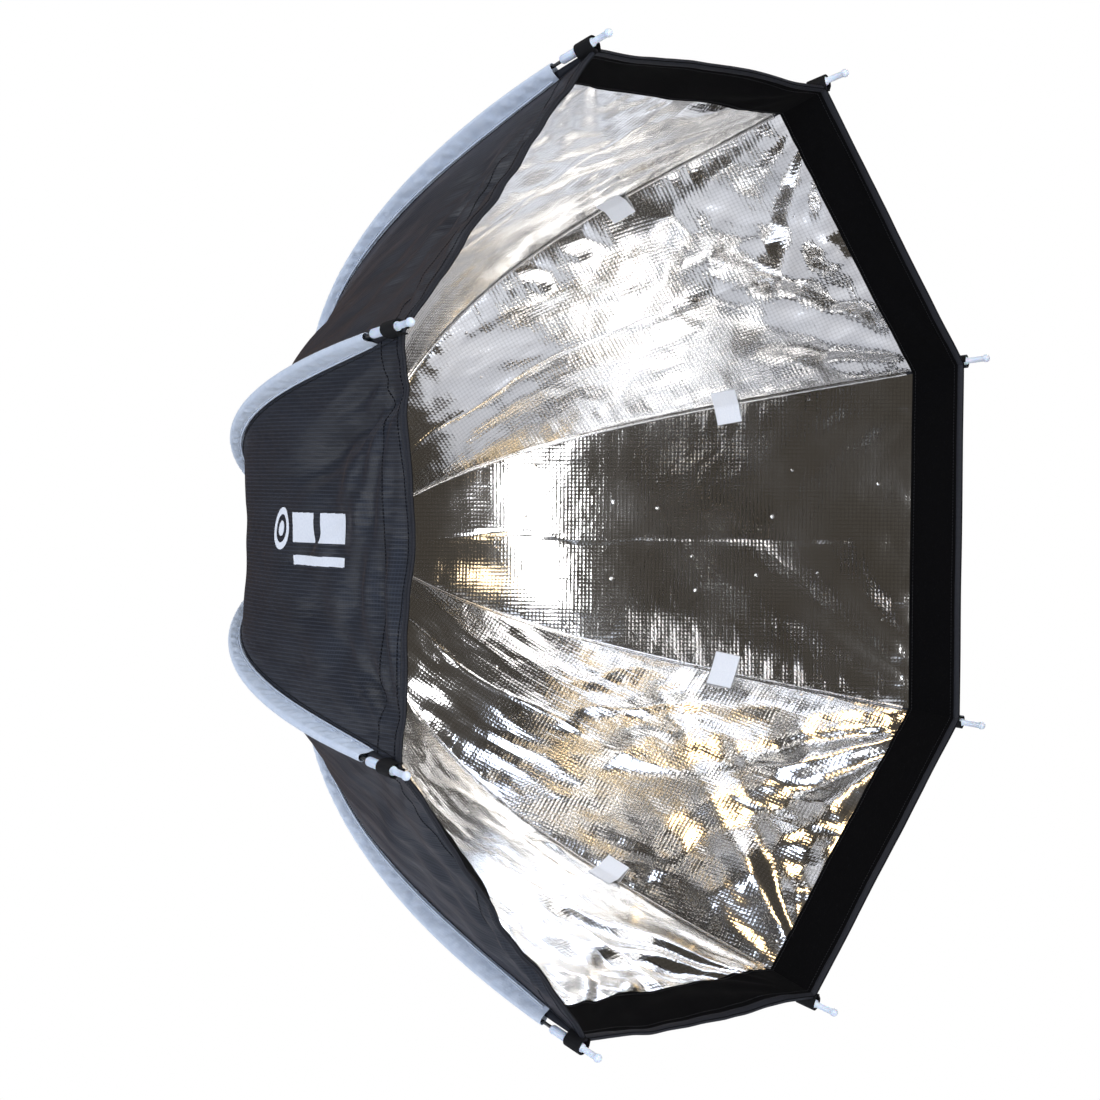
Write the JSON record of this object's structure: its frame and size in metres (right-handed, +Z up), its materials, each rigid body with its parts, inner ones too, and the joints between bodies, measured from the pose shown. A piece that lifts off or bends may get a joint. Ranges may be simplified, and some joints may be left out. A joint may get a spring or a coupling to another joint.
{
  "type": "umbrella softbox reflector",
  "caption": "Folding octagonal umbrella softbox: sprung ribs hinged on a hub hold a black cover with a silver lining open, with a bayonet ring at the back.",
  "frame": {"origin": "centre of the seat plane of the bayonet ring, where the light's face meets it, on the optical axis", "axes": "+Y along the optical axis out of the back, towards the light; the mouth faces -Y; +Z up with a flat of the octagon on top; +X to the right seen from the mouth's front"},
  "size_m": [0.8632, 0.4994, 0.8632],
  "materials": {
    "black_ripstop": "PU-coated black ripstop, satin",
    "silver_lining": "aluminised scrim-laminated film, crumpled, glossy",
    "loop_band": "matte black brushed loop fabric",
    "edge_binding": "black grosgrain binding",
    "sleeve_tape": "pale ice-blue polyester tape, satin",
    "rib_rod": "black sprung rod, satin",
    "tip_nylon": "moulded white nylon",
    "loop_webbing": "black woven webbing",
    "tab_fabric": "white knitted tab",
    "sewing_thread": "polyester sewing thread",
    "print_white": "white screen print",
    "hub_nylon": "black glass-filled nylon, fine grain",
    "ring_aluminium": "turned and bead-blasted aluminium",
    "zinc_steel": "zinc-plated steel",
    "button_red": "moulded red acetal"
  },
  "bodies": {
    "hub": {"hub_body": "hub_nylon", "hinge_wire": "zinc_steel", "hub_cover": "hub_nylon", "bayonet_ring": "ring_aluminium", "ring_screw_1": "zinc_steel", "ring_screw_2": "zinc_steel", "ring_screw_3": "zinc_steel", "ring_screw_4": "zinc_steel", "button_spring": "zinc_steel"},
    "rib_1": {"rib_socket_1": "hub_nylon", "rib_rod_1": "rib_rod", "rib_tip_1": "tip_nylon", "rib_sleeve_1": "sleeve_tape"},
    "rib_2": {"rib_socket_2": "hub_nylon", "rib_rod_2": "rib_rod", "rib_tip_2": "tip_nylon", "rib_sleeve_2": "sleeve_tape"},
    "rib_3": {"rib_socket_3": "hub_nylon", "rib_rod_3": "rib_rod", "rib_tip_3": "tip_nylon", "rib_sleeve_3": "sleeve_tape"},
    "rib_4": {"rib_socket_4": "hub_nylon", "rib_rod_4": "rib_rod", "rib_tip_4": "tip_nylon", "rib_sleeve_4": "sleeve_tape"},
    "rib_5": {"rib_socket_5": "hub_nylon", "rib_rod_5": "rib_rod", "rib_tip_5": "tip_nylon", "rib_sleeve_5": "sleeve_tape"},
    "rib_6": {"rib_socket_6": "hub_nylon", "rib_rod_6": "rib_rod", "rib_tip_6": "tip_nylon", "rib_sleeve_6": "sleeve_tape"},
    "rib_7": {"rib_socket_7": "hub_nylon", "rib_rod_7": "rib_rod", "rib_tip_7": "tip_nylon", "rib_sleeve_7": "sleeve_tape"},
    "rib_8": {"rib_socket_8": "hub_nylon", "rib_rod_8": "rib_rod", "rib_tip_8": "tip_nylon", "rib_sleeve_8": "sleeve_tape"},
    "gore_1a": {"gore_half_1a": "black_ripstop"},
    "gore_1b": {"gore_half_1b": "black_ripstop"},
    "gore_2a": {"gore_half_2a": "black_ripstop"},
    "gore_2b": {"gore_half_2b": "black_ripstop"},
    "gore_3a": {"gore_half_3a": "black_ripstop"},
    "gore_3b": {"gore_half_3b": "black_ripstop"},
    "gore_4a": {"gore_half_4a": "black_ripstop"},
    "gore_4b": {"gore_half_4b": "black_ripstop"},
    "gore_5a": {"gore_half_5a": "black_ripstop"},
    "gore_5b": {"gore_half_5b": "black_ripstop"},
    "gore_6a": {"gore_half_6a": "black_ripstop"},
    "gore_6b": {"gore_half_6b": "black_ripstop"},
    "gore_7a": {"gore_half_7a": "black_ripstop"},
    "gore_7b": {"gore_half_7b": "black_ripstop"},
    "gore_8a": {"gore_half_8a": "black_ripstop"},
    "gore_8b": {"gore_half_8b": "black_ripstop"},
    "collar": {"lock_collar": "hub_nylon"},
    "button": {"release_button": "button_red"}
  },
  "joints": [
    {"name": "rib_1_fold", "type": "hinge", "parent": "hub", "child": "rib_1", "pos_m": [0.06282, -0.032, 0.02602], "axis": [0.3827, 0, -0.9239], "range_deg": [0, 44]},
    {"name": "rib_2_fold", "type": "hinge", "parent": "hub", "child": "rib_2", "pos_m": [0.02602, -0.032, 0.06282], "axis": [0.9239, 0, -0.3827], "range_deg": [0, 44]},
    {"name": "rib_3_fold", "type": "hinge", "parent": "hub", "child": "rib_3", "pos_m": [-0.02602, -0.032, 0.06282], "axis": [0.9239, 0, 0.3827], "range_deg": [0, 44]},
    {"name": "rib_4_fold", "type": "hinge", "parent": "hub", "child": "rib_4", "pos_m": [-0.06282, -0.032, 0.02602], "axis": [0.3827, 0, 0.9239], "range_deg": [0, 44]},
    {"name": "rib_5_fold", "type": "hinge", "parent": "hub", "child": "rib_5", "pos_m": [-0.06282, -0.032, -0.02602], "axis": [-0.3827, 0, 0.9239], "range_deg": [0, 44]},
    {"name": "rib_6_fold", "type": "hinge", "parent": "hub", "child": "rib_6", "pos_m": [-0.02602, -0.032, -0.06282], "axis": [-0.9239, 0, 0.3827], "range_deg": [0, 44]},
    {"name": "rib_7_fold", "type": "hinge", "parent": "hub", "child": "rib_7", "pos_m": [0.02602, -0.032, -0.06282], "axis": [-0.9239, 0, -0.3827], "range_deg": [0, 44]},
    {"name": "rib_8_fold", "type": "hinge", "parent": "hub", "child": "rib_8", "pos_m": [0.06282, -0.032, -0.02602], "axis": [-0.3827, 0, -0.9239], "range_deg": [0, 44]},
    {"name": "gore_1a_fold", "type": "hinge", "parent": "rib_1", "child": "gore_1a", "pos_m": [0.06282, -0.032, 0.02602], "axis": [-0.7454, -0.179, 0.6421], "range_deg": [0, 21.56], "deforming": ["gore_half_1a"]},
    {"name": "gore_1b_fold", "type": "hinge", "parent": "rib_1", "child": "gore_1b", "pos_m": [0.06282, -0.032, 0.02602], "axis": [0.073, 0.179, 0.9811], "range_deg": [0, 21.56], "deforming": ["gore_half_1b"]},
    {"name": "gore_2a_fold", "type": "hinge", "parent": "rib_2", "child": "gore_2a", "pos_m": [0.02602, -0.032, 0.06282], "axis": [-0.9811, -0.179, -0.073], "range_deg": [0, 21.56], "deforming": ["gore_half_2a"]},
    {"name": "gore_2b_fold", "type": "hinge", "parent": "rib_2", "child": "gore_2b", "pos_m": [0.02602, -0.032, 0.06282], "axis": [-0.6421, 0.179, 0.7454], "range_deg": [0, 21.56], "deforming": ["gore_half_2b"]},
    {"name": "gore_3a_fold", "type": "hinge", "parent": "rib_3", "child": "gore_3a", "pos_m": [-0.02602, -0.032, 0.06282], "axis": [-0.6421, -0.179, -0.7454], "range_deg": [0, 21.56], "deforming": ["gore_half_3a"]},
    {"name": "gore_3b_fold", "type": "hinge", "parent": "rib_3", "child": "gore_3b", "pos_m": [-0.02602, -0.032, 0.06282], "axis": [-0.9811, 0.179, 0.073], "range_deg": [0, 21.56], "deforming": ["gore_half_3b"]},
    {"name": "gore_4a_fold", "type": "hinge", "parent": "rib_4", "child": "gore_4a", "pos_m": [-0.06282, -0.032, 0.02602], "axis": [0.073, -0.179, -0.9811], "range_deg": [0, 21.56], "deforming": ["gore_half_4a"]},
    {"name": "gore_4b_fold", "type": "hinge", "parent": "rib_4", "child": "gore_4b", "pos_m": [-0.06282, -0.032, 0.02602], "axis": [-0.7454, 0.179, -0.6421], "range_deg": [0, 21.56], "deforming": ["gore_half_4b"]},
    {"name": "gore_5a_fold", "type": "hinge", "parent": "rib_5", "child": "gore_5a", "pos_m": [-0.06282, -0.032, -0.02602], "axis": [0.7454, -0.179, -0.6421], "range_deg": [0, 21.56], "deforming": ["gore_half_5a"]},
    {"name": "gore_5b_fold", "type": "hinge", "parent": "rib_5", "child": "gore_5b", "pos_m": [-0.06282, -0.032, -0.02602], "axis": [-0.073, 0.179, -0.9811], "range_deg": [0, 21.56], "deforming": ["gore_half_5b"]},
    {"name": "gore_6a_fold", "type": "hinge", "parent": "rib_6", "child": "gore_6a", "pos_m": [-0.02602, -0.032, -0.06282], "axis": [0.9811, -0.179, 0.073], "range_deg": [0, 21.56], "deforming": ["gore_half_6a"]},
    {"name": "gore_6b_fold", "type": "hinge", "parent": "rib_6", "child": "gore_6b", "pos_m": [-0.02602, -0.032, -0.06282], "axis": [0.6421, 0.179, -0.7454], "range_deg": [0, 21.56], "deforming": ["gore_half_6b"]},
    {"name": "gore_7a_fold", "type": "hinge", "parent": "rib_7", "child": "gore_7a", "pos_m": [0.02602, -0.032, -0.06282], "axis": [0.6421, -0.179, 0.7454], "range_deg": [0, 21.56], "deforming": ["gore_half_7a"]},
    {"name": "gore_7b_fold", "type": "hinge", "parent": "rib_7", "child": "gore_7b", "pos_m": [0.02602, -0.032, -0.06282], "axis": [0.9811, 0.179, -0.073], "range_deg": [0, 21.56], "deforming": ["gore_half_7b"]},
    {"name": "gore_8a_fold", "type": "hinge", "parent": "rib_8", "child": "gore_8a", "pos_m": [0.06282, -0.032, -0.02602], "axis": [-0.073, -0.179, 0.9811], "range_deg": [0, 21.56], "deforming": ["gore_half_8a"]},
    {"name": "gore_8b_fold", "type": "hinge", "parent": "rib_8", "child": "gore_8b", "pos_m": [0.06282, -0.032, -0.02602], "axis": [0.7454, 0.179, 0.6421], "range_deg": [0, 21.56], "deforming": ["gore_half_8b"]},
    {"name": "collar_slide", "type": "slide", "parent": "hub", "child": "collar", "axis": [0, 1, 0], "range_m": [0, 0.01]},
    {"name": "button_press", "type": "slide", "parent": "hub", "child": "button", "axis": [0, 0, -1], "range_m": [0, 0.0025], "stiffness_N_per_m": 600, "deforming": ["button_spring"]}
  ],
  "couplings": [
    {"joint": "rib_2_fold", "follows": "rib_1_fold", "ratio": 1},
    {"joint": "rib_3_fold", "follows": "rib_1_fold", "ratio": 1},
    {"joint": "rib_4_fold", "follows": "rib_1_fold", "ratio": 1},
    {"joint": "rib_5_fold", "follows": "rib_1_fold", "ratio": 1},
    {"joint": "rib_6_fold", "follows": "rib_1_fold", "ratio": 1},
    {"joint": "rib_7_fold", "follows": "rib_1_fold", "ratio": 1},
    {"joint": "rib_8_fold", "follows": "rib_1_fold", "ratio": 1},
    {"joint": "gore_1a_fold", "follows": "rib_1_fold", "ratio": 0.48991},
    {"joint": "gore_1b_fold", "follows": "rib_1_fold", "ratio": 0.48991},
    {"joint": "gore_2a_fold", "follows": "rib_1_fold", "ratio": 0.48991},
    {"joint": "gore_2b_fold", "follows": "rib_1_fold", "ratio": 0.48991},
    {"joint": "gore_3a_fold", "follows": "rib_1_fold", "ratio": 0.48991},
    {"joint": "gore_3b_fold", "follows": "rib_1_fold", "ratio": 0.48991},
    {"joint": "gore_4a_fold", "follows": "rib_1_fold", "ratio": 0.48991},
    {"joint": "gore_4b_fold", "follows": "rib_1_fold", "ratio": 0.48991},
    {"joint": "gore_5a_fold", "follows": "rib_1_fold", "ratio": 0.48991},
    {"joint": "gore_5b_fold", "follows": "rib_1_fold", "ratio": 0.48991},
    {"joint": "gore_6a_fold", "follows": "rib_1_fold", "ratio": 0.48991},
    {"joint": "gore_6b_fold", "follows": "rib_1_fold", "ratio": 0.48991},
    {"joint": "gore_7a_fold", "follows": "rib_1_fold", "ratio": 0.48991},
    {"joint": "gore_7b_fold", "follows": "rib_1_fold", "ratio": 0.48991},
    {"joint": "gore_8a_fold", "follows": "rib_1_fold", "ratio": 0.48991},
    {"joint": "gore_8b_fold", "follows": "rib_1_fold", "ratio": 0.48991},
    {"joint": "collar_slide", "follows": "rib_1_fold", "m_per_rad": 0.012892}
  ]
}
